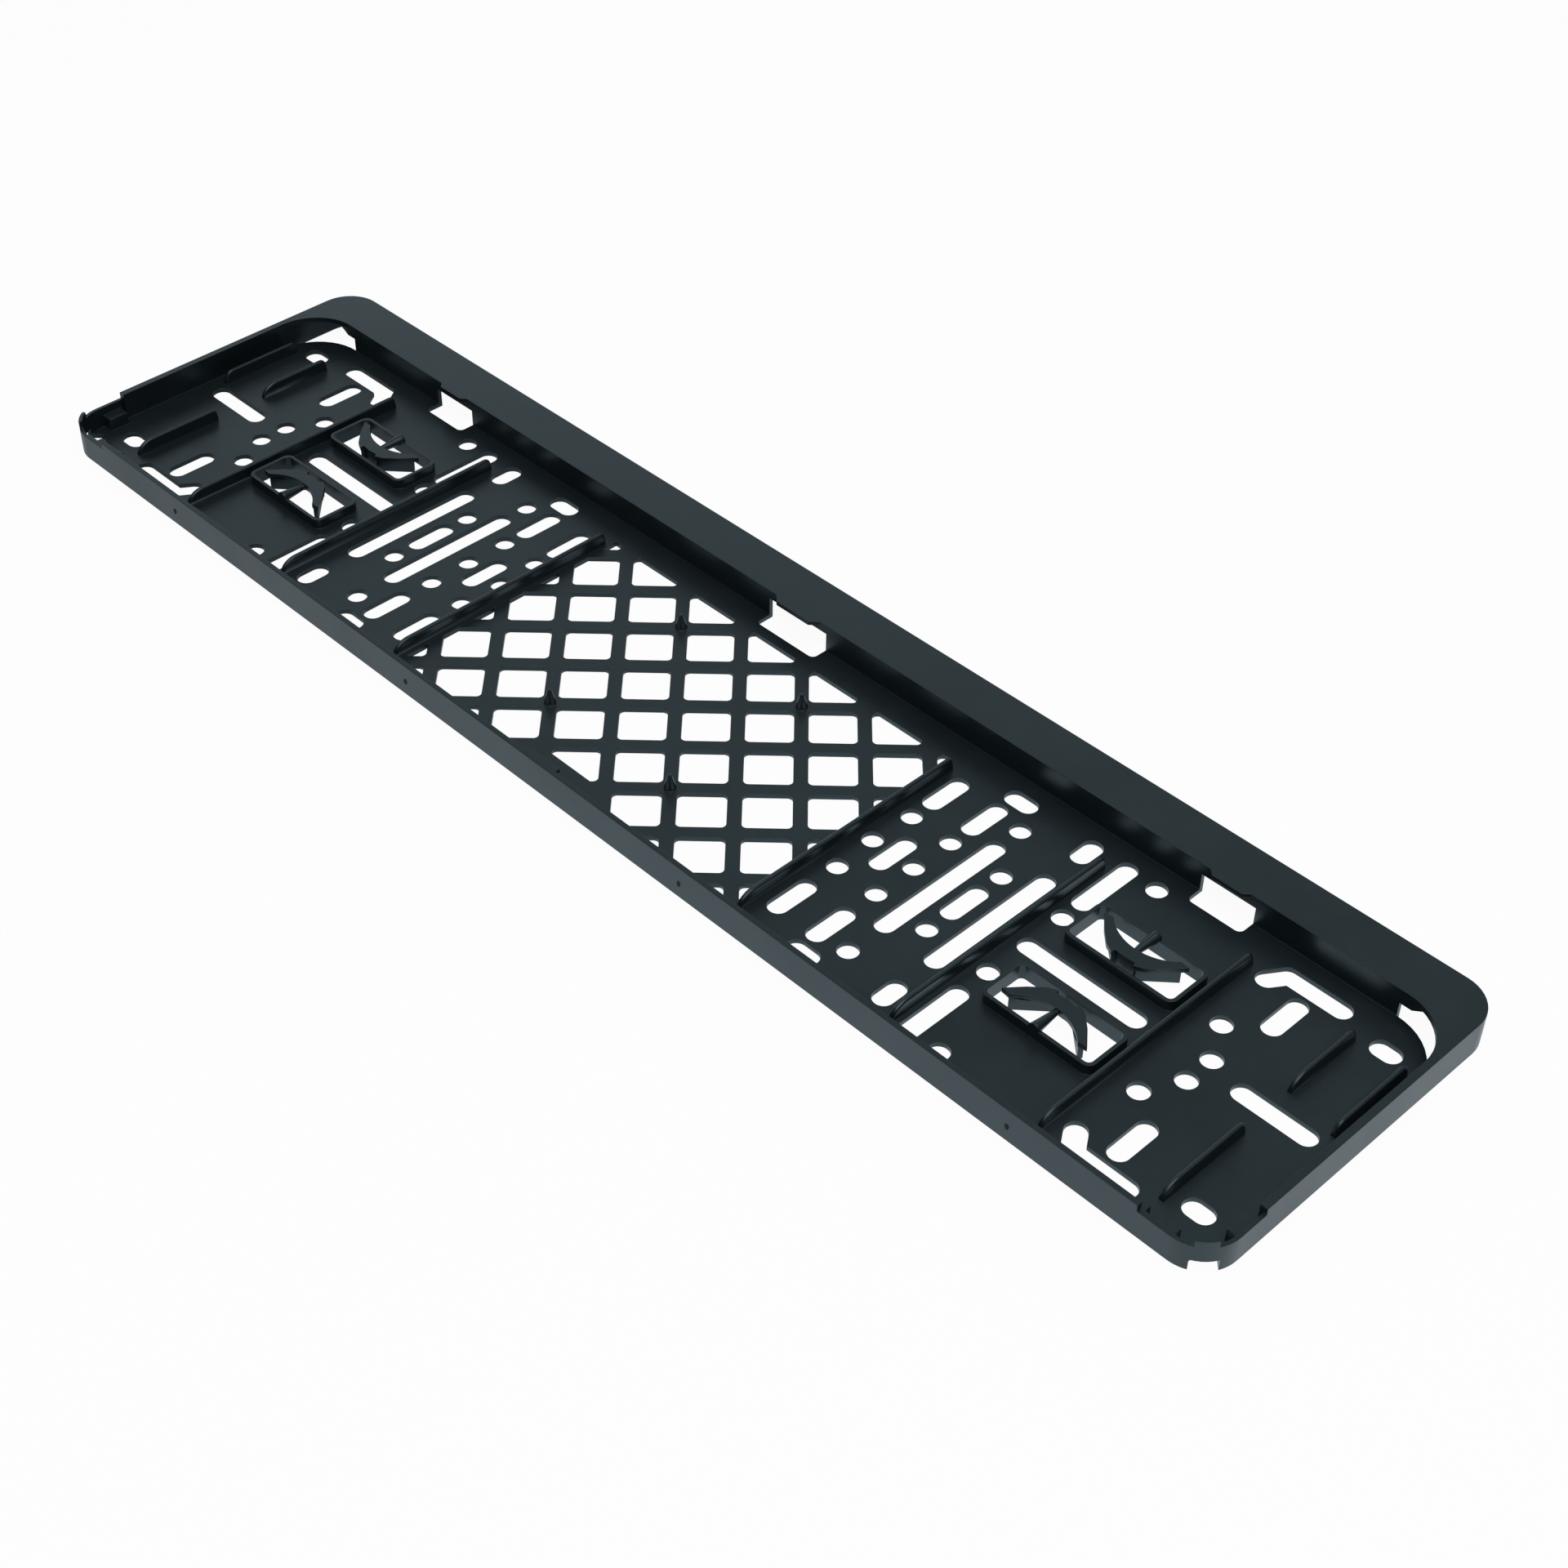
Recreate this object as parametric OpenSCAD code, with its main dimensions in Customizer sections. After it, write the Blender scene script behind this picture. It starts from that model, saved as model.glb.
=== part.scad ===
// Number plate holder, moulded in one piece, lying on its back with the plate side up.
// X runs along the plate, Y towards the wide flange, Z up from the rim that meets the car.
// Places on the floor are measured from the crossing at the centre of the grille.

/* [Number plate and its bay] */
// Length of the plate that the bay takes
plate_l = 520; // [460:1:560]
// Height of that plate
plate_h = 110; // [100:1:130]
// Play beyond each end of the plate
end_play = 0.3; // [0.2:0.1:2]
// Play along each long edge of the plate
edge_play = 0.5; // [0.2:0.05:2]
// How far the middle of the bay lies below the middle of the grille
bay_drop = 0.95; // [0:0.05:3]

/* [Outer walls] */
// Height of the holder
holder_h = 11.8; // [10:0.1:18]
// Thickness of the end walls
end_wall = 2.5; // [1.6:0.1:4]
// Thickness of the near long wall
near_wall = 1.9; // [1:0.1:3]
// Outer radius of the four corners
corner_r = 12.8; // [8:0.1:16]

/* [Wide flange] */
// Width of the flange beyond the bay
flange_w = 17.4; // [12:0.1:30]
// Thickness of the flange
flange_t = 2; // [1.2:0.1:3]
// Thickness of the skirt under the flange's outer edge
skirt_t = 1.8; // [1.2:0.1:3]
// Thickness of the wall between the bay and the flange
bay_wall = 1.6; // [1:0.1:3]
// Radius of the flange's inner corners
bay_r = 18; // [14:0.5:24]
// How far the bay wall stops short of each end wall
bay_wall_stop = 20; // [19:0.1:30]
// How far the band under the flange runs on past the bay wall
band_run = 4.1; // [1:0.1:6]
// Height of that band
band_h = 3.2; // [1:0.1:5]
// Length of the slant at the band's end
band_slant = 5.3; // [1:0.1:8]

/* [Floor] */
// Thickness of the floor
floor_t = 1.75; // [1.2:0.05:3]
// Radius of the floor's far corners, which leave a gap under the flange
floor_r = 20; // [16:0.5:28]

/* [Grille] */
// Pitch of the bars, square to them
grille_pitch = 20.15; // [16:0.05:26]
// Width of a bar
bar_w = 4.65; // [3.5:0.05:8]
// Radius in the corners of the openings
cell_r = 1.75; // [0.5:0.05:2.5]
// Half length of the pierced field
grille_x = 79.1; // [60:0.1:79.5]
// Distance from the middle to the field's far edge
grille_far = 44.5; // [36:0.1:47]
// Distance from the middle to the field's near edge
grille_near = 52.4; // [40:0.1:54]
// The same distance in the middle, below the small lip
grille_mid = 44.5; // [36:0.1:50]
// Width of the solid stretch in the middle
solid_w = 36; // [20:1:50]
// Diameter at the foot of a plate support pin
pin_d = 4.2; // [3:0.1:5]
// Diameter at its tip
pin_tip_d = 1.2; // [0.6:0.1:2]
// Height of a pin above the floor
pin_h = 5.25; // [3:0.05:6]

/* [Ribs] */
// Height of the ribs above the floor
rib_h = 4.65; // [3:0.05:6]
// Thickness of a rib
rib_t = 1.8; // [1:0.1:2.5]
// Length of the curved ramp at a rib's near end
ramp_l = 6.4; // [2:0.1:8]
// Radius of a rib's far upper end
rib_r = 2.2; // [1:0.1:4]
// Distance from the middle to the first cross rib
rib_1 = 81.8; // [80:0.1:83]
// Distance from the middle to the second cross rib
rib_2 = 143.7; // [142:0.1:144]
// Distance from the end wall to the third cross rib
rib_3_in = 61.2; // [56:0.1:62]
// Distance from the end wall to the pair of short ribs
rib_4_in = 22.9; // [20:0.1:26]
// Distance from the end wall to the end rib
rib_5_in = 5.1; // [3:0.1:8]
// Far end of the cross ribs
rib_far = 41.3; // [38:0.1:46]
// Near end of the cross ribs
rib_near = 50.2; // [44:0.1:52]
// Near end of the far short rib
short_far_y0 = 9.3; // [4:0.1:14]
// Far end of the far short rib
short_far_y1 = 38.2; // [34:0.1:42]
// Near end of the near short rib, below the grille's middle
short_near_y0 = 45.4; // [40:0.1:50]
// Far end of the near short rib, below the grille's middle
short_near_y1 = 11.1; // [6:0.1:16]
// Near end of the end rib
end_rib_y0 = 5; // [1:0.1:10]
// Far end of the end rib
end_rib_y1 = 37.5; // [34:0.1:40]
// Length of the end rib's ramp
end_ramp_l = 3.4; // [1:0.1:6]

/* [Clip frames] */
// Distance from the middle to each frame's centre, along the plate
frame_x = 175.75; // [172:0.05:177]
// Distance from the grille's middle to the far frames' centre
frame_far = 17.8; // [16:0.05:20]
// Distance from the grille's middle to the near frames' centre
frame_near = 17.3; // [16:0.05:20]
// Length of a frame
frame_l = 41; // [36:0.1:42]
// Width of a frame
frame_w = 18.3; // [17:0.1:20]
// Wall of a frame
frame_wall = 1.3; // [0.8:0.1:2]
// Height of a frame above the floor
frame_h = 3.65; // [2:0.05:5]
// Outer radius of a frame's corners
frame_r = 3; // [2:0.1:4]

/* [Clips] */
// Level of the clips' top above the rim
clip_top = 7.2; // [6:0.1:9]
// Level of the clips' underside above the rim
clip_foot = 0.5; // [0:0.1:2]
// Distance from the middle line to the middle of each clip's hollow
clip_y = 17; // [15:0.05:19]
// Thickness of a clip's top leaf
leaf_t = 1.8; // [0.8:0.1:2.5]
// Radius of the leaf's hollow side
leaf_r = 17.2; // [14:0.1:20]
// Half width of the hollow
hollow_half = 12.6; // [10:0.1:14]
// Width of the leaf's tips
tip_w = 3.2; // [2:0.1:5]
// Thickness of the leaf at its crown
crown_t = 4.6; // [3:0.1:6]
// Distance from the middle to each barb on the crown
barb_x = 4; // [2:0.1:6]
// How far the barbs stand out from the crown
barb_out = 1.1; // [0.5:0.1:2]
// Thickness of the web under the leaf
web_t = 1.6; // [1:0.1:3]
// How far the web stops short of the leaf's tips
web_short = 2.1; // [0.4:0.1:4]
// How far the web lies in from the leaf's outer edge
web_in = 0.5; // [0:0.1:1]
// Thickness of the web's wall at the crown
crown_wall = 1.4; // [0.8:0.1:3]
// Diameter of the sprue where it leaves the frame
sprue_d = 4; // [2:0.1:4.5]
// Diameter of the sprue where it meets the clip
sprue_tip_d = 1.9; // [1:0.1:3]

/* [Windows and lips] */
// Length of the middle window in the bay wall
window_mid = 26.5; // [18:0.1:30]
// Length of each side window
window_side = 19.8; // [14:0.1:26]
// Distance from the middle to each side window
window_x = 179.7; // [175:0.1:184]
// Depth of the notch that each window cuts in the floor
window_notch = 5.95; // [4:0.05:7]
// Radius in the notch's corners
notch_r = 2; // [0.5:0.1:3]
// Top of the middle window below the flange
mid_lintel = 1.3; // [0.5:0.1:4]
// Top of the side windows below the flange
side_lintel = 2; // [0.5:0.1:4]
// Length of the middle lip's edge
lip_mid = 14.8; // [10:0.1:20]
// Reach of the middle lip over the bay
lip_mid_out = 2.6; // [1:0.1:3]
// Length of each side lip's edge
lip_side = 10.8; // [8:0.1:16]
// Reach of the side lips
lip_side_out = 1.8; // [1:0.1:3]
// Thickness of the lips
lip_t = 1.5; // [0.8:0.1:2]
// Length of the small lip on the near wall
near_lip = 15; // [10:0.1:20]
// Reach of the small lip on the near wall
near_lip_out = 1.9; // [0.8:0.1:2.5]

/* [Near corners] */
// Drop of the wall's top beside the near corners
corner_drop = 2.3; // [1:0.1:3]
// Distance from the end wall to where the near wall drops
drop_in = 21.3; // [16:0.1:28]
// Distance from the grille's middle to where the end walls drop
drop_y = 35; // [25:0.1:42]
// Thickness of the end walls and of the tab beside the corner
thin_wall = 1.3; // [1:0.1:2]
// Half angle of the full-height tab at the corner
tab_angle = 15; // [8:1:20]
// Width of the hole that is cut through wall and floor below the tab
foot_hole_w = 8; // [5:0.1:10]
// Height of that hole
foot_hole_h = 4; // [3:0.1:6]
// Depth of that hole, measured in from the corner
foot_hole_d = 6.5; // [5:0.1:8]
// Reach of the low lugs that the plate's corners rest on
lug_out = 4.4; // [2:0.1:6]
// Length of a lug on the near wall
lug_l = 3; // [2:0.1:4]
// Pitch of the two lugs on the near wall
lug_pitch = 10.2; // [6:0.1:12]
// Distance from the end wall's drop to the lug on the end wall
end_lug_gap = 1.3; // [0.5:0.1:3]
// Length of the lug on the end wall
end_lug_l = 7.4; // [3:0.1:9]

/* [Fixing holes] */
// Diameter of the round holes, and width of the slots
hole_d = 6.9; // [5:0.1:8]
// Overall length of the short slots
slot_l = 18.1; // [14:0.1:19]
// Overall length of the long slots across the holder
long_slot_l = 54.1; // [40:0.1:56]
// Middle of the second row pattern, below the grille's middle
row_b = 1.9; // [1:0.1:3]

/* [Hidden] */
$fn = 40;
eps = 0.02;
plastic = "#30373b";
tip_v = leaf_r - sqrt(pow(leaf_r, 2) - pow(hollow_half, 2));

// Overall plan
bay_x = plate_l / 2 + end_play;
half_l = bay_x + end_wall;
bay_wall_end = bay_x - bay_wall_stop;
drop_x = bay_x - drop_in;
bay_near = -bay_drop - plate_h / 2 - edge_play;
bay_far = -bay_drop + plate_h / 2 + edge_play;
near_y = bay_near - near_wall;
far_y = bay_far + flange_w;
mid_y = (near_y + far_y) / 2;

// Levels above the rim
flange_z = holder_h - flange_t;
frame_z = floor_t + frame_h;
drop_z = holder_h - corner_drop;

// Round holes on the right half, measured from the grille's middle
ROUND_A = [[88, 0], [89, 16.1], [105.1, 0], [105.1, 16.1], [125.7, 16.1], [149.75, 16.1]];
// Round holes of the second row pattern
ROUND_B = [[116.15, 37.15], [161.25, 47.1]];
// Slots as place, length and turn
SLOT_A = [
    [[96.5, 0], slot_l, 90], [[125.65, 0], slot_l, 90],
    [[116.15, 0], long_slot_l, 90], [[136.2, 0], long_slot_l, 90],
    [[136.2, 42.65], 11.9, 90], [[170.8, 0], 46.8, 0]];
// Slots of the second row pattern
SLOT_B = [
    [[89, 33.2], slot_l, 90], [[105.1, 33.2], slot_l, 90],
    [[149.75, 37.1], 26.9, 90], [[107.6, 47.2], 11.9, 0]];
// Slots near the right end, measured from the end wall
SLOT_END_A = [[[-20.75, 0], 28.4, 0], [[-13.7, 40.95], 10, 0]];
// Slots and round holes of the second row pattern near that end
SLOT_END_B = [[[-41.15, 33.1], slot_l, 90]];
ROUND_END_B = [[-45.1, 5.5], [-51.6, 18]];
// Middles of a bent slot's two ends and of its bend
BENT = [[-53.9, 41.4], [-50.3, 46.8], [-31.8, 46.8]];
// Two bends on the back of a clip's leaf, between tip and barb
LEAF_BACK = [[11.3, -0.2], [7, -4.3]];

module both_ends() {
    children();
    mirror([1, 0, 0]) children();
}

module slab(z0, z1) {
    translate([0, 0, z0]) linear_extrude(z1 - z0) children();
}

// Rectangle from y0 to y1, half length x, with one radius near and one far
module plan(x, y0, y1, near_r, far_r) {
    translate([near_r - x, y0]) square([2 * (x - near_r), near_r + eps]);
    translate([-x, y0 + near_r]) square([2 * x, y1 - y0 - near_r - far_r]);
    translate([far_r - x, y1 - far_r - eps]) square([2 * (x - far_r), far_r + eps]);
    for (s = [-1, 1]) {
        translate([s * (x - near_r), y0 + near_r]) circle(near_r);
        translate([s * (x - far_r), y1 - far_r]) circle(far_r);
    }
}

// Slot with round ends between two points
module slot_to(a, b) {
    d = b - a;
    for (p = [a, b]) translate(p) circle(d = hole_d);
    translate((a + b) / 2) rotate(atan2(d[1], d[0])) square([norm(d), hole_d], center = true);
}

module slot(l) {
    slot_to([hole_d / 2 - l / 2, 0], [l / 2 - hole_d / 2, 0]);
}

// Outer walls with the flange and its skirt
module shell() {
    difference() {
        slab(0, holder_h) plan(half_l, near_y, far_y, corner_r, corner_r);
        slab(-1, flange_z) difference() {
            plan(bay_x, bay_near, far_y - skirt_t, corner_r - near_wall, corner_r - skirt_t);
            translate([-bay_wall_end, bay_far]) square([2 * bay_wall_end, bay_wall]);
        }
        slab(flange_z - eps, holder_h + 1)
            plan(bay_x, bay_near, bay_far, corner_r - near_wall, bay_r);
    }
    both_ends() band();
}

// Strip of the bay wall that runs on under the flange past the wall's end
module band() {
    translate([bay_wall_end, bay_far + bay_wall, flange_z + eps]) rotate([90, 0, 0])
        linear_extrude(bay_wall) polygon([
            [-1, 0], [band_run + band_slant, 0], [band_run, -band_h], [-1, -band_h]]);
}

module floor_plate() {
    slab(0, floor_t) difference() {
        union() {
            plan(bay_x + eps, bay_near - eps, bay_far - floor_r, corner_r - near_wall, eps);
            translate([-bay_wall_end, 0]) square([2 * bay_wall_end, bay_far + eps]);
            both_ends() translate([bay_wall_end, bay_far - floor_r]) circle(floor_r);
        }
        grille_cells();
        fixing_holes();
        each_frame() frame_plan(frame_wall);
    }
}

// Openings of the grille, laid out on the diagonal
module grille_cells() {
    side = grille_pitch - bar_w;
    half_step = grille_pitch / sqrt(2);
    difference() {
        intersection() {
            translate([-grille_x, -grille_near]) square([2 * grille_x, grille_near + grille_far]);
            for (i = [-6:6], j = [-4:4])
                if ((i + j) % 2 != 0) translate([i * half_step, j * half_step]) rotate(45) cell(side);
        }
        translate([-solid_w / 2, -grille_near - 1]) square([solid_w, grille_near + 1 - grille_mid]);
    }
}

module cell(side) {
    square([side, side - 2 * cell_r], center = true);
    square([side - 2 * cell_r, side], center = true);
    for (x = [-1, 1], y = [-1, 1])
        translate([x * (side / 2 - cell_r), y * (side / 2 - cell_r)]) circle(cell_r, $fn = 16);
}

// Every hole that a screw can take, on both halves
module fixing_holes() {
    both_ends() for (s = [-1, 1]) {
        row_holes(s, ROUND_A, SLOT_A);
        translate([bay_x, 0]) row_holes(s, [], SLOT_END_A);
        translate([0, -row_b]) row_holes(s, ROUND_B, SLOT_B);
        translate([bay_x, -row_b]) {
            row_holes(s, ROUND_END_B, SLOT_END_B);
            scale([1, s]) for (i = [0, 1]) slot_to(BENT[i], BENT[i + 1]);
        }
    }
}

module row_holes(s, rounds, slots) {
    for (p = rounds) translate([p[0], s * p[1]]) circle(d = hole_d);
    for (p = slots) translate([p[0][0], s * p[0][1]]) rotate(p[2]) slot(p[1]);
}

module window_cuts() {
    window_cut(window_mid, mid_lintel);
    for (s = [-1, 1]) translate([s * window_x, 0, 0]) window_cut(window_side, side_lintel);
}

// Opening in the bay wall with the notch that it cuts in the floor
module window_cut(l, lintel) {
    slab(-1, flange_z - lintel)
        plan(l / 2, bay_far - window_notch, bay_far + bay_wall + 1, notch_r, eps);
}

// Lip that holds the plate's edge, with its root on the line y = 0
module lip(l, out) {
    slab(holder_h - lip_t, holder_h)
        polygon([[-l / 2 - out, 0.5], [-l / 2 - out, 0], [-l / 2, -out], [l / 2, -out], [l / 2 + out, 0], [l / 2 + out, 0.5]]);
}

module lips() {
    translate([0, bay_far, 0]) {
        lip(lip_mid, lip_mid_out);
        for (s = [-1, 1]) translate([s * window_x, 0, 0]) lip(lip_side, lip_side_out);
    }
    slab(holder_h - lip_t, holder_h)
        translate([-near_lip / 2, bay_near - 0.5]) square([near_lip, near_lip_out + 0.5]);
}

// Rib along Y from y0 to y1, with a curved ramp at the near end and a round far end
module rib(x, y0, y1, ramp = ramp_l) {
    near = [for (i = [0:8]) [y0 + ramp * (1 - cos(i * 11.25)), floor_t + rib_h * sin(i * 11.25)]];
    top = floor_t + rib_h;
    round_end = [for (i = [0:8]) [y1 - rib_r + rib_r * sin(i * 11.25), top - rib_r + rib_r * cos(i * 11.25)]];
    translate([x - rib_t / 2, 0, 0]) rotate([90, 0, 90]) linear_extrude(rib_t)
        polygon(concat([[y0, floor_t - eps]], near, round_end, [[y1, floor_t - eps]]));
}

module ribs() {
    both_ends() {
        for (x = [rib_1, rib_2, bay_x - rib_3_in]) rib(x, -rib_near, rib_far);
        rib(bay_x - rib_4_in, short_far_y0, short_far_y1);
        rib(bay_x - rib_4_in, -short_near_y0, -short_near_y1);
        rib(bay_x - rib_5_in, end_rib_y0, end_rib_y1, end_ramp_l);
    }
}

// Pins that the grille carries for the plate to rest on
module pins() {
    step = grille_pitch * sqrt(2);
    for (x = [-step, step], y = [-step, step])
        translate([x, y, floor_t - eps]) cylinder(h = pin_h + eps, d1 = pin_d, d2 = pin_tip_d);
}

module each_frame() {
    for (x = [-frame_x, frame_x], y = [-frame_near, frame_far]) translate([x, y]) children();
}

module frame_plan(inset) {
    w = frame_w / 2 - inset;
    plan(frame_l / 2 - inset, -w, w, frame_r - inset, frame_r - inset);
}

// Leaf of a clip, hollow side towards +Y and the middle of the hollow at the origin
module leaf_plan() {
    span = asin(hollow_half / leaf_r);
    hollow = [for (i = [-8:8]) [leaf_r * sin(i * span / 8), leaf_r * (1 - cos(i * span / 8))]];
    side = [
        [hollow_half + tip_w, tip_v - 0.3], LEAF_BACK[0], LEAF_BACK[1],
        [barb_x, -crown_t - barb_out], [barb_x - 0.3, -crown_t + 0.2]];
    polygon(concat(hollow, side, [[0, -crown_t - 0.2]], [for (i = [4:-1:0]) [-side[i][0], side[i][1]]]));
}

// Web under the leaf: two straight arms along its outer edges, joined by a thin wall at the crown
module web_plan() {
    tip = [hollow_half + tip_w, tip_v - 0.3];
    root = [barb_x, -crown_t - barb_out];
    for (s = [-1, 1]) scale([s, 1])
        translate(tip) rotate(atan2(root[1] - tip[1], root[0] - tip[0]))
            translate([web_short, -web_in - web_t]) square([norm(root - tip) - web_short - 1, web_t]);
    intersection() {
        leaf_plan();
        translate([-barb_x, -crown_t - barb_out]) square([2 * barb_x, crown_wall + barb_out]);
    }
}

module clip() {
    slab(clip_top - leaf_t, clip_top) leaf_plan();
    slab(clip_foot, clip_top - leaf_t + eps) web_plan();
}

// Raised frame round a hole, with its clip and the sprue that holds it; turn is 1 for the far pair
module clip_frame(turn, hollow_y) {
    slab(floor_t - eps, frame_z) difference() {
        frame_plan(0);
        frame_plan(frame_wall);
    }
    translate([0, hollow_y, 0]) scale([1, turn, 1]) clip();
    translate([0, turn * frame_w / 2, frame_z]) rotate([turn * 90, 0, 0])
        cylinder(h = frame_w / 2 - turn * hollow_y + 0.5, d1 = sprue_d, d2 = sprue_tip_d);
}

module clip_frames() {
    for (x = [-frame_x, frame_x]) {
        translate([x, frame_far, 0]) clip_frame(1, clip_y - frame_far);
        translate([x, -frame_near, 0]) clip_frame(-1, frame_near - clip_y);
    }
}

// Material taken off the right near corner: the low stretches of wall and the hole below the tab
module corner_cut() {
    cx = half_l - corner_r;
    cy = near_y + corner_r;
    a = 45 - tab_angle;
    b = 45 + tab_angle;
    difference() {
        slab(drop_z, holder_h + 1) {
            translate([drop_x, near_y - 1]) square([half_l - drop_x + 1, corner_r + 1]);
            translate([bay_x - 1, near_y - 1]) square([end_wall + 2, 1 - near_y - drop_y]);
        }
        slab(0, holder_h) polygon([
            [cx, cy], [cx + 2 * corner_r * cos(b), cy - 2 * corner_r * sin(b)],
            [cx + 2 * corner_r * cos(a), cy - 2 * corner_r * sin(a)]]);
    }
    slab(floor_t, holder_h + 1) intersection() {
        plan(half_l - thin_wall, near_y + thin_wall, 0, corner_r - thin_wall, eps);
        translate([cx, near_y]) square([corner_r, -drop_y - near_y]);
    }
    translate([cx, cy, -1]) rotate(-45) translate([corner_r - foot_hole_d, -foot_hole_w / 2, 0])
        cube([foot_hole_d + 2, foot_hole_w, foot_hole_h + 1]);
}

// Lugs on the walls beside the right near corner, as high as the ribs
module corner_lugs() {
    slab(floor_t - eps, floor_t + rib_h) {
        for (x = [drop_x - lug_l, drop_x + lug_pitch - lug_l])
            translate([x, bay_near - 0.5]) square([lug_l, lug_out + 0.5]);
        translate([half_l - thin_wall - lug_out, -drop_y - end_lug_gap - end_lug_l])
            square([lug_out + 0.5, end_lug_l]);
    }
}

module holder() {
    color(plastic) translate([0, -mid_y, 0]) {
        difference() {
            union() {
                shell();
                floor_plate();
            }
            window_cuts();
            both_ends() corner_cut();
        }
        lips();
        ribs();
        pins();
        clip_frames();
        both_ends() corner_lugs();
    }
}

holder();
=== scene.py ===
from math import radians

import bmesh
import bpy
from mathutils import Euler, Matrix, Vector


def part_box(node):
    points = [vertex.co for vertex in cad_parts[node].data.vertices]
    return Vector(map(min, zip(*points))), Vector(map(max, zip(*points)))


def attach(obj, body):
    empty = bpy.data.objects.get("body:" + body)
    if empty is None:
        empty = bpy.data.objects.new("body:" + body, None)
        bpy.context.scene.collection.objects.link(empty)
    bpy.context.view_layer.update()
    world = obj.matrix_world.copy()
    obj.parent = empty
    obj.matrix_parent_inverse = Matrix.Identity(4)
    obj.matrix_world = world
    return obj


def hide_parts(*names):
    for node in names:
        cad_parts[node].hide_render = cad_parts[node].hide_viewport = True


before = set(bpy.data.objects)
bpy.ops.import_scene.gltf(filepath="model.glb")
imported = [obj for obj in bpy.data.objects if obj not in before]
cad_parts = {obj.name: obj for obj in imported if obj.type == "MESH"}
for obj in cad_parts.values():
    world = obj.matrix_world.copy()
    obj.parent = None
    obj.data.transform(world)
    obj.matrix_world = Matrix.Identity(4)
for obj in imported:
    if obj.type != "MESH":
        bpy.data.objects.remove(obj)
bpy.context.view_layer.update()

bl_info = {
    "name": "Number plate holder",
    "version": (1, 0, 0),
    "blender": (4, 5, 0),
    "location": "3D View > Sidebar > Plate holder",
    "description": "Finishes the moulded number plate holder and sets up its studio",
    "category": "Object",
}

MM = 0.001
HOLDER_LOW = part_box("holder")[0]

# Distance of the cross ribs from the middle, and a little over half their thickness
RIB_PLACES = tuple(x * MM for x in (81.8, 143.7, 199.1, 237.4, 255.2))
RIB_REACH = 0.99 * MM
# A level just above the floor, below which the ribs keep their sharp feet
ABOVE_FLOOR = 2 * MM
# Faces that meet at more than SHARP have an edge to round, and at less than ONE_PLANE are joined
SHARP = radians(35)
ONE_PLANE = radians(0.3)
SAME_POINT = 0.001 * MM
RIB_STEPS = 4
EDGE_STEPS = 2
FLAT_FACE_WEIGHT = 60
# How far the torn stubs' outline strays, as a share of their size
TEAR_RAGGED = 0.07

# Widths of the patterns in the plastic, and the share of the speck cells that stay empty
COOLING_WIDTH = 45 * MM
HANDLING_WIDTH = 9 * MM
SPECK_SPACING = 14 * MM
NO_SPECK = 0.82
TEAR_WIDTH = 0.3 * MM
TEAR_DEPTH = 0.2 * MM
# What cooling and grain add to the roughness
COOLING_GLOSSIER = 0.05
COOLING_ROUGHER = 0.06
GRAIN_ROUGHER = 0.08
# ABS has an IOR of 1.53, and the skin that the mould leaves reflects a little more
ABS_IOR = 1.53
SKIN_IOR = 1.61
SKIN_TINT = "#d2f4ff"
TEAR_BLACK = "#08090a"

# Ranges for Map Range nodes: noise to haze, distance to a speck
HANDLING_HAZE = {"From_Min": 0.45, "From_Max": 0.75, "To_Min": 0.0, "To_Max": 0.55}
SPECK_EDGE = {"From_Min": 0.012, "From_Max": 0.02, "To_Min": 1.0, "To_Max": 0.0}

# The paper reaches far past the holder and lies just clear of its underside
PAPER_RADIUS = 12.0
PAPER_GAP = 0.05 * MM
# Share of plain white beside the shaded paper, which leaves a trace of the holder's shadow
PAPER_PLAIN = 0.95
# How light the paper is in the plastic's gloss: along the holder, away from it, and in its shade
PAPER_ALONG = {"From_Min": -0.3, "From_Max": 0.3, "To_Min": 0.72, "To_Max": 1.0}
PAPER_AWAY = {"From_Min": 0.6, "From_Max": 1.5, "To_Min": 1.0, "To_Max": 0.2}
PAPER_SHADE = {"From_Min": -0.25, "From_Max": 0.05, "To_Min": 0.35, "To_Max": 1.0}
# Where the shade ends, at the holder's ends and sides
SHADE_END = {"From_Min": 0.257, "From_Max": 0.262}
SHADE_SIDE = {"From_Min": 0.059, "From_Max": 0.064}

# Levels of the lit wall and of the dim room by the height of the direction, and how they meet
LIT_WALL = {"From_Min": 0.3, "From_Max": 0.75, "To_Min": 1.0, "To_Max": 0.22}
DIM_ROOM = {"From_Min": 0.1, "From_Max": 0.7, "To_Min": 0.08, "To_Max": 0.24}
LIT_SIDE = (-0.75, 0.66, 0)
LIT_EDGE = {"From_Min": 0.35, "From_Max": 0.85}

# Cool whites of the paper and the room in the plastic's gloss
PAPER_COOL = "#eff9ff"
ROOM_COOL = "#ecf8ff"
PURE_WHITE = "#ffffff"

SENSOR_WIDTH = 36
CAMERA_SHIFT = 0.0251
CAMERA_REACH = 50


def linear(hex_colour):
    """An sRGB hex value as the linear RGBA that a socket takes."""
    channels = [int(hex_colour[i:i + 2], 16) / 255 for i in (1, 3, 5)]
    return tuple(c / 12.92 if c <= 0.04045 else ((c + 0.055) / 1.055) ** 2.4 for c in channels) + (1.0,)


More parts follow.
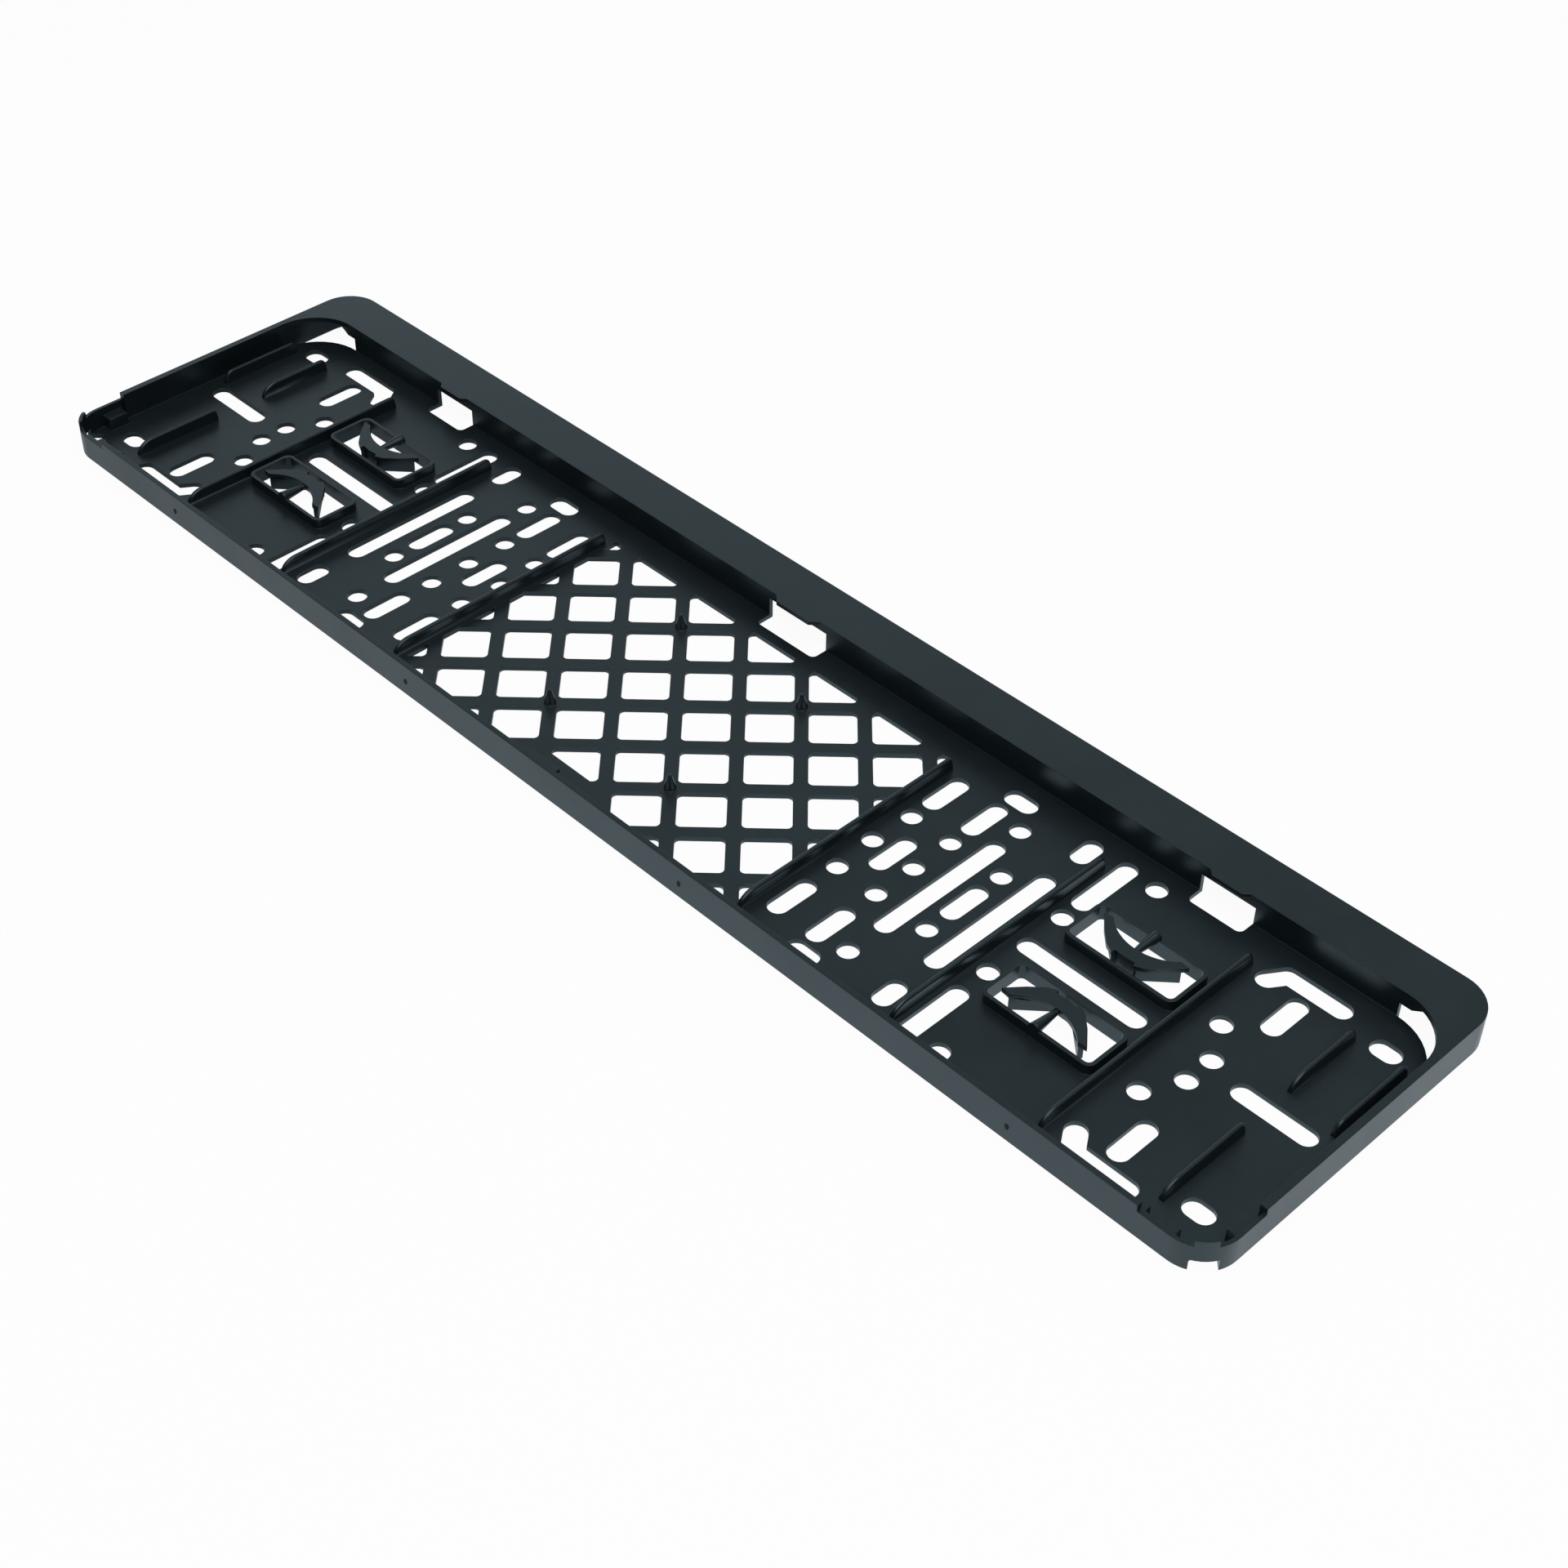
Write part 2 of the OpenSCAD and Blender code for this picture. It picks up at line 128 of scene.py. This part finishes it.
def add_node(tree, kind, settings=None, **inputs):
    """Adds a node. A socket named in inputs takes a value, an output, or a node for its first output."""
    node = tree.nodes.new(kind)
    for name, value in (settings or {}).items():
        setattr(node, name, value)
    for name, value in inputs.items():
        socket = node.inputs[int(name[1:])] if name[1:].isdigit() else node.inputs[name.replace("_", " ")]
        if isinstance(value, bpy.types.Node):
            value = value.outputs[0]
        if isinstance(value, bpy.types.NodeSocket):
            tree.links.new(value, socket)
        else:
            socket.default_value = value
    return node


def clear_tree(owner):
    owner.use_nodes = True
    owner.node_tree.nodes.clear()
    return owner.node_tree


def as_object(name, mesh):
    piece = bpy.data.objects.new(name, mesh)
    bpy.context.scene.collection.objects.link(piece)
    return piece


class HolderMoulding(bpy.types.PropertyGroup):
    edge_round: bpy.props.FloatProperty(
        name="Edge round", description="Radius that the mould leaves on every sharp edge",
        default=0.12 * MM, unit="LENGTH")
    rib_round: bpy.props.FloatProperty(
        name="Rib round", description="Radius along the top edges of the ribs",
        default=0.8 * MM, unit="LENGTH")
    gate_middle_x: bpy.props.FloatProperty(
        name="Inner gates", description="Distance from the middle to the two inner gate marks",
        default=64.9 * MM, unit="LENGTH")
    gate_end_x: bpy.props.FloatProperty(
        name="Outer gates", description="Distance from the middle to the two outer gate marks",
        default=194.5 * MM, unit="LENGTH")
    gate_level: bpy.props.FloatProperty(
        name="Gate level", description="Height of the gate marks above the bottom",
        default=5.3 * MM, unit="LENGTH")
    gate_width: bpy.props.FloatProperty(
        name="Gate width", description="Width of the torn plastic at each gate",
        default=1.5 * MM, unit="LENGTH")
    gate_height: bpy.props.FloatProperty(
        name="Gate height", description="Height of the torn plastic at each gate",
        default=2.4 * MM, unit="LENGTH")
    gate_proud: bpy.props.FloatProperty(
        name="Gate stub", description="How far the torn plastic stands out from the wall",
        default=0.3 * MM, unit="LENGTH")


class HolderPlastic(bpy.types.PropertyGroup):
    body: bpy.props.FloatVectorProperty(
        name="Body colour", description="Black ABS with its faint blue-green cast",
        size=4, min=0, max=1, subtype="COLOR", default=linear("#14181a"))
    haze: bpy.props.FloatVectorProperty(
        name="Haze colour", description="The slightly paler tone that handling leaves on the plastic",
        size=4, min=0, max=1, subtype="COLOR", default=linear("#1b2023"))
    dust: bpy.props.FloatVectorProperty(
        name="Dust colour", description="Specks of dust and small scuffs",
        size=4, min=0, max=1, subtype="COLOR", default=linear("#7d868a"))
    roughness: bpy.props.FloatProperty(
        name="Roughness", description="Roughness of the satin face",
        default=0.31, min=0, max=1, subtype="FACTOR")
    grain: bpy.props.FloatProperty(
        name="Grain", description="Width of one bump of the mould's texture",
        default=0.9 * MM, unit="LENGTH")
    grain_depth: bpy.props.FloatProperty(
        name="Grain depth", description="Height of the bumps",
        default=0.02 * MM, unit="LENGTH")


class HolderStudio(bpy.types.PropertyGroup):
    paper: bpy.props.FloatVectorProperty(
        name="Paper", description="White paper that the holder lies on",
        size=4, min=0, max=1, subtype="COLOR", default=linear("#f4f5f6"))
    top_power: bpy.props.FloatProperty(
        name="Top light", description="Power of the broad lamp overhead",
        default=20.0, min=0)
    top_place: bpy.props.FloatVectorProperty(
        name="Top light place", description="Where the broad lamp hangs, turned to the holder",
        size=3, subtype="TRANSLATION", unit="LENGTH", default=(0.45, -0.25, 1.6))
    top_size: bpy.props.FloatProperty(
        name="Top light size", description="Length of the lamp's sides",
        default=1.8, min=0, unit="LENGTH")
    camera_place: bpy.props.FloatVectorProperty(
        name="Camera place", description="Where the photograph was taken from",
        size=3, subtype="TRANSLATION", unit="LENGTH", default=(0.47775, -0.43435, 0.53109))
    camera_turn: bpy.props.FloatVectorProperty(
        name="Camera turn", description="How the camera was turned",
        size=3, subtype="EULER", unit="ROTATION",
        default=(radians(48.686), radians(-0.203), radians(46.37)))
    lens: bpy.props.FloatProperty(
        name="Lens", description="Focal length in millimetres on a 36 mm sensor",
        default=59.53, min=1)


def satin_black_abs(look):
    """ABS moulded in a finely textured tool: black and satin, its grain a faint break-up of the gloss."""
    material = bpy.data.materials.new("Satin black ABS, injection moulded")
    tree = clear_tree(material)
    place = add_node(tree, "ShaderNodeTexCoord").outputs["Object"]
    # Grain of the mould: real bumps are about 0.1 mm, drawn coarser so that they show
    grain = add_node(
        tree, "ShaderNodeTexNoise", Vector=place, Scale=1 / look.grain, Detail=2.0, Roughness=0.6)
    # Slow changes of gloss where the plastic cooled at different rates
    cooling = add_node(
        tree, "ShaderNodeTexNoise", Vector=place, Scale=1 / COOLING_WIDTH, Detail=3.0, Roughness=0.55)
    # Faint cloud of handling marks
    handling = add_node(
        tree, "ShaderNodeTexNoise", Vector=place, Scale=1 / HANDLING_WIDTH, Detail=5.0, Roughness=0.7)
    cloud = add_node(tree, "ShaderNodeMapRange", Value=handling, **HANDLING_HAZE)
    tone = add_node(
        tree, "ShaderNodeMix", {"data_type": "RGBA"}, _0=cloud, _6=tuple(look.body), _7=tuple(look.haze))
    # One speck of dust in a few of the cells
    cells = add_node(
        tree, "ShaderNodeTexVoronoi", {"feature": "F1"}, Vector=place, Scale=1 / SPECK_SPACING,
        Randomness=1.0)
    near_speck = add_node(tree, "ShaderNodeMapRange", Value=cells.outputs["Distance"], **SPECK_EDGE)
    chance = add_node(tree, "ShaderNodeSeparateColor", Color=cells.outputs["Color"])
    chosen = add_node(
        tree, "ShaderNodeMath", {"operation": "GREATER_THAN"}, _0=chance.outputs["Red"], _1=NO_SPECK)
    speck = add_node(tree, "ShaderNodeMath", {"operation": "MULTIPLY"}, _0=near_speck, _1=chosen)
    colour = add_node(
        tree, "ShaderNodeMix", {"data_type": "RGBA"}, _0=speck, _6=tone.outputs[2], _7=tuple(look.dust))
    gloss = add_node(
        tree, "ShaderNodeMapRange", Value=cooling, From_Min=0.3, From_Max=0.7,
        To_Min=look.roughness - COOLING_GLOSSIER, To_Max=look.roughness + COOLING_ROUGHER)
    uneven = add_node(
        tree, "ShaderNodeMath", {"operation": "MULTIPLY_ADD"}, _0=grain, _1=GRAIN_ROUGHER, _2=gloss)
    bump = add_node(tree, "ShaderNodeBump", Strength=0.6, Distance=look.grain_depth, Height=grain)
    plastic = add_node(
        tree, "ShaderNodeBsdfPrincipled", Base_Color=colour.outputs[2], Roughness=uneven, IOR=SKIN_IOR,
        Specular_Tint=linear(SKIN_TINT), Normal=bump)
    add_node(tree, "ShaderNodeOutputMaterial", Surface=plastic)
    return material


def torn_abs(look):
    """ABS torn off at a gate: the same black plastic, rough and matt, so it shows as a dark spot."""
    material = bpy.data.materials.new("Torn black ABS")
    tree = clear_tree(material)
    place = add_node(tree, "ShaderNodeTexCoord").outputs["Object"]
    tears = add_node(
        tree, "ShaderNodeTexNoise", Vector=place, Scale=1 / TEAR_WIDTH, Detail=4.0, Roughness=0.8)
    tone = add_node(
        tree, "ShaderNodeMix", {"data_type": "RGBA"}, _0=tears, _6=linear(TEAR_BLACK), _7=tuple(look.body))
    bump = add_node(tree, "ShaderNodeBump", Strength=1.0, Distance=TEAR_DEPTH, Height=tears)
    plastic = add_node(
        tree, "ShaderNodeBsdfPrincipled", Base_Color=tone.outputs[2], Roughness=0.85, IOR=ABS_IOR,
        Normal=bump)
    add_node(tree, "ShaderNodeOutputMaterial", Surface=plastic)
    return material


def matt_paper(studio):
    """Matt white paper: white to the camera with a trace of shadow, and a cool white in the gloss."""
    material = bpy.data.materials.new("White paper, matt")
    tree = clear_tree(material)
    matt = add_node(tree, "ShaderNodeBsdfDiffuse", Color=tuple(studio.paper))
    ray = add_node(tree, "ShaderNodeLightPath")
    place = add_node(tree, "ShaderNodeTexCoord").outputs["Object"]
    spot = add_node(tree, "ShaderNodeSeparateXYZ", Vector=place)
    # In the gloss the paper falls off to the left and away from the holder
    along = add_node(tree, "ShaderNodeMapRange", Value=spot.outputs["X"], **PAPER_ALONG)
    far = add_node(tree, "ShaderNodeVectorMath", {"operation": "LENGTH"}, _0=place).outputs["Value"]
    away = add_node(tree, "ShaderNodeMapRange", Value=far, **PAPER_AWAY)
    strength = add_node(tree, "ShaderNodeMath", {"operation": "MULTIPLY"}, _0=along, _1=away)
    # Under the holder it lies in the holder's shade, deepest to the left
    end_way = add_node(tree, "ShaderNodeMath", {"operation": "ABSOLUTE"}, _0=spot.outputs["X"])
    side_way = add_node(tree, "ShaderNodeMath", {"operation": "ABSOLUTE"}, _0=spot.outputs["Y"])
    past_end = add_node(tree, "ShaderNodeMapRange", Value=end_way, **SHADE_END)
    past_side = add_node(tree, "ShaderNodeMapRange", Value=side_way, **SHADE_SIDE)
    shade = add_node(tree, "ShaderNodeMapRange", Value=spot.outputs["X"], **PAPER_SHADE)
    open_paper = add_node(tree, "ShaderNodeMath", {"operation": "MAXIMUM"}, _0=past_end, _1=past_side)
    open_paper = add_node(tree, "ShaderNodeMath", {"operation": "MAXIMUM"}, _0=open_paper, _1=shade)
    strength = add_node(tree, "ShaderNodeMath", {"operation": "MULTIPLY"}, _0=strength, _1=open_paper)
    strength = add_node(
        tree, "ShaderNodeMath", {"operation": "MAXIMUM"}, _0=strength, _1=ray.outputs["Is Camera Ray"])
    white = add_node(
        tree, "ShaderNodeMix", {"data_type": "RGBA"}, _0=ray.outputs["Is Camera Ray"],
        _6=linear(PAPER_COOL), _7=linear(PURE_WHITE))
    glow = add_node(tree, "ShaderNodeEmission", Color=white.outputs[2], Strength=strength)
    seen = add_node(
        tree, "ShaderNodeMath", {"operation": "MAXIMUM"}, _0=ray.outputs["Is Camera Ray"],
        _1=ray.outputs["Is Glossy Ray"])
    seen = add_node(
        tree, "ShaderNodeMath", {"operation": "MAXIMUM"}, _0=seen, _1=ray.outputs["Is Transmission Ray"])
    share = add_node(tree, "ShaderNodeMath", {"operation": "MULTIPLY"}, _0=seen, _1=PAPER_PLAIN)
    mixed = add_node(tree, "ShaderNodeMixShader", _0=share, _1=matt, _2=glow)
    add_node(tree, "ShaderNodeOutputMaterial", Surface=mixed)
    return material


class HOLDER_OT_moulding(bpy.types.Operator):
    """Rounds the edges of the moulding and gives it its satin black plastic"""
    bl_idname = "holder.moulding"
    bl_label = "Moulding"

    def is_rib_edge(self, edge):
        """True for an edge between a rib's side and its top, ramp or far end"""
        ends = [vert.co for vert in edge.verts]
        on_rib = any(all(abs(abs(co.x) - x) < RIB_REACH for co in ends) for x in RIB_PLACES)
        return on_rib and min(co.z for co in ends) > ABOVE_FLOOR and edge.calc_face_angle(0) > SHARP

    def execute(self, context):
        sizes = context.scene.holder_moulding
        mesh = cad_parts["holder"].data.copy()
        mesh.name = "moulding"
        shape = bmesh.new()
        shape.from_mesh(mesh)
        bmesh.ops.remove_doubles(shape, verts=shape.verts, dist=SAME_POINT)
        bmesh.ops.dissolve_limit(shape, angle_limit=ONE_PLANE, verts=shape.verts, edges=shape.edges)
        for face in shape.faces:
            face.smooth = True
        wide_round = shape.edges.layers.float.new("bevel_weight_edge")
        for edge in shape.edges:
            edge[wide_round] = float(self.is_rib_edge(edge))
        shape.to_mesh(mesh)
        shape.free()
        mesh.materials.clear()
        mesh.materials.append(satin_black_abs(context.scene.holder_plastic))
        piece = as_object("moulding", mesh)
        rib_tops = piece.modifiers.new("rib round", "BEVEL")
        rib_tops.width = sizes.rib_round
        rib_tops.segments = RIB_STEPS
        rib_tops.limit_method = "WEIGHT"
        rib_tops.use_clamp_overlap = False
        round_off = piece.modifiers.new("edge round", "BEVEL")
        round_off.width = sizes.edge_round
        round_off.segments = EDGE_STEPS
        round_off.limit_method = "ANGLE"
        round_off.angle_limit = SHARP
        round_off.use_clamp_overlap = False
        even_out = piece.modifiers.new("flat faces stay flat", "WEIGHTED_NORMAL")
        even_out.mode = "FACE_AREA"
        even_out.weight = FLAT_FACE_WEIGHT
        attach(piece, "root")
        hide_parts("holder")
        return {"FINISHED"}


class HOLDER_OT_gate_marks(bpy.types.Operator):
    """Adds the torn stubs on the near wall where the plastic was fed into the mould"""
    bl_idname = "holder.gate_marks"
    bl_label = "Gate marks"

    def execute(self, context):
        sizes = context.scene.holder_moulding
        plastic = torn_abs(context.scene.holder_plastic)
        places = (-sizes.gate_end_x, -sizes.gate_middle_x, sizes.gate_middle_x, sizes.gate_end_x)
        marks = bmesh.new()
        for x in places:
            stub = bmesh.ops.create_icosphere(marks, subdivisions=3, radius=0.5)["verts"]
            # The torn face is ragged, the same way at each gate
            for vert in stub:
                wave = TEAR_RAGGED * ((7 * vert.co.x + 5 * vert.co.z) % 1 - 0.5)
                vert.co += Vector((wave, 0, -wave))
            size = Matrix.Diagonal((sizes.gate_width, 2 * sizes.gate_proud, sizes.gate_height, 1))
            place = Matrix.Translation((x, HOLDER_LOW.y, HOLDER_LOW.z + sizes.gate_level))
            bmesh.ops.transform(marks, matrix=place @ size, verts=stub)
        mesh = bpy.data.meshes.new("gate marks")
        marks.to_mesh(mesh)
        marks.free()
        mesh.materials.append(plastic)
        piece = as_object("gate_marks", mesh)
        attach(piece, "root")
        return {"FINISHED"}


class HOLDER_OT_studio(bpy.types.Operator):
    """Lays the white paper and sets the soft lamp, the surroundings and the photograph's camera"""
    bl_idname = "holder.studio"
    bl_label = "Studio"

    def lay_paper(self, studio):
        shape = bmesh.new()
        bmesh.ops.create_circle(shape, cap_ends=True, segments=96, radius=PAPER_RADIUS)
        down = Matrix.Translation((0, 0, HOLDER_LOW.z - PAPER_GAP))
        bmesh.ops.transform(shape, matrix=down, verts=shape.verts)
        mesh = bpy.data.meshes.new("paper")
        shape.to_mesh(mesh)
        shape.free()
        mesh.materials.append(matt_paper(studio))
        as_object("paper", mesh)

    def hang_lamp(self, studio):
        data = bpy.data.lights.new("top light", "AREA")
        data.shape = "SQUARE"
        data.size = studio.top_size
        data.energy = studio.top_power
        lamp = as_object("top light", data)
        lamp.location = studio.top_place
        lamp.rotation_euler = (-Vector(studio.top_place)).to_track_quat("-Z", "Y").to_euler()

    def light_surroundings(self, scene):
        """A lit wall behind the holder's left half, brightest near the horizon, in a dim room"""
        world = bpy.data.worlds.new("studio")
        scene.world = world
        tree = clear_tree(world)
        ray = add_node(tree, "ShaderNodeLightPath")
        way = add_node(tree, "ShaderNodeTexCoord").outputs["Generated"]
        height = add_node(tree, "ShaderNodeSeparateXYZ", Vector=way).outputs["Z"]
        lit = add_node(tree, "ShaderNodeMapRange", Value=height, **LIT_WALL)
        dim = add_node(tree, "ShaderNodeMapRange", Value=height, **DIM_ROOM)
        side = add_node(tree, "ShaderNodeVectorMath", {"operation": "DOT_PRODUCT"}, _0=way, _1=LIT_SIDE)
        behind = add_node(tree, "ShaderNodeMapRange", Value=side.outputs["Value"], **LIT_EDGE)
        level = add_node(tree, "ShaderNodeMix", _0=behind, _2=dim, _3=lit)
        level = add_node(
            tree, "ShaderNodeMath", {"operation": "MAXIMUM"}, _0=level, _1=ray.outputs["Is Camera Ray"])
        white = add_node(
            tree, "ShaderNodeMix", {"data_type": "RGBA"}, _0=ray.outputs["Is Camera Ray"],
            _6=linear(ROOM_COOL), _7=linear(PURE_WHITE))
        room = add_node(tree, "ShaderNodeBackground", Color=white.outputs[2], Strength=level)
        add_node(tree, "ShaderNodeOutputWorld", Surface=room)

    def place_camera(self, scene, studio):
        data = bpy.data.cameras.new("photograph")
        data.sensor_width = SENSOR_WIDTH
        data.lens = studio.lens
        data.shift_x = CAMERA_SHIFT
        data.clip_end = CAMERA_REACH
        camera = as_object("photograph", data)
        camera.location = studio.camera_place
        camera.rotation_euler = Euler(studio.camera_turn)
        scene.camera = camera

    def execute(self, context):
        scene = context.scene
        studio = scene.holder_studio
        self.lay_paper(studio)
        self.hang_lamp(studio)
        self.light_surroundings(scene)
        self.place_camera(scene, studio)
        scene.view_settings.view_transform = "Standard"
        return {"FINISHED"}


class VIEW3D_PT_plate_holder(bpy.types.Panel):
    """Lists the holder's pieces and their sizes"""
    bl_idname = "VIEW3D_PT_plate_holder"
    bl_label = "Plate holder"
    bl_space_type = "VIEW_3D"
    bl_region_type = "UI"
    bl_category = "Plate holder"

    def draw(self, context):
        for group in GROUPS:
            box = self.layout.box()
            for name in group.__annotations__:
                box.prop(getattr(context.scene, GROUPS[group]), name)
        for operator in OPERATORS:
            self.layout.operator(operator.bl_idname)


GROUPS = {HolderMoulding: "holder_moulding", HolderPlastic: "holder_plastic", HolderStudio: "holder_studio"}
OPERATORS = (HOLDER_OT_moulding, HOLDER_OT_gate_marks, HOLDER_OT_studio)


def register():
    for group, name in GROUPS.items():
        bpy.utils.register_class(group)
        setattr(bpy.types.Scene, name, bpy.props.PointerProperty(type=group))
    for operator in OPERATORS:
        bpy.utils.register_class(operator)
    bpy.utils.register_class(VIEW3D_PT_plate_holder)


def unregister():
    bpy.utils.unregister_class(VIEW3D_PT_plate_holder)
    for operator in reversed(OPERATORS):
        bpy.utils.unregister_class(operator)
    for group, name in GROUPS.items():
        delattr(bpy.types.Scene, name)
        bpy.utils.unregister_class(group)


def main():
    register()
    bpy.ops.holder.moulding()
    bpy.ops.holder.gate_marks()
    bpy.ops.holder.studio()
    bpy.context.view_layer.update()


if __name__ == "__main__":
    main()
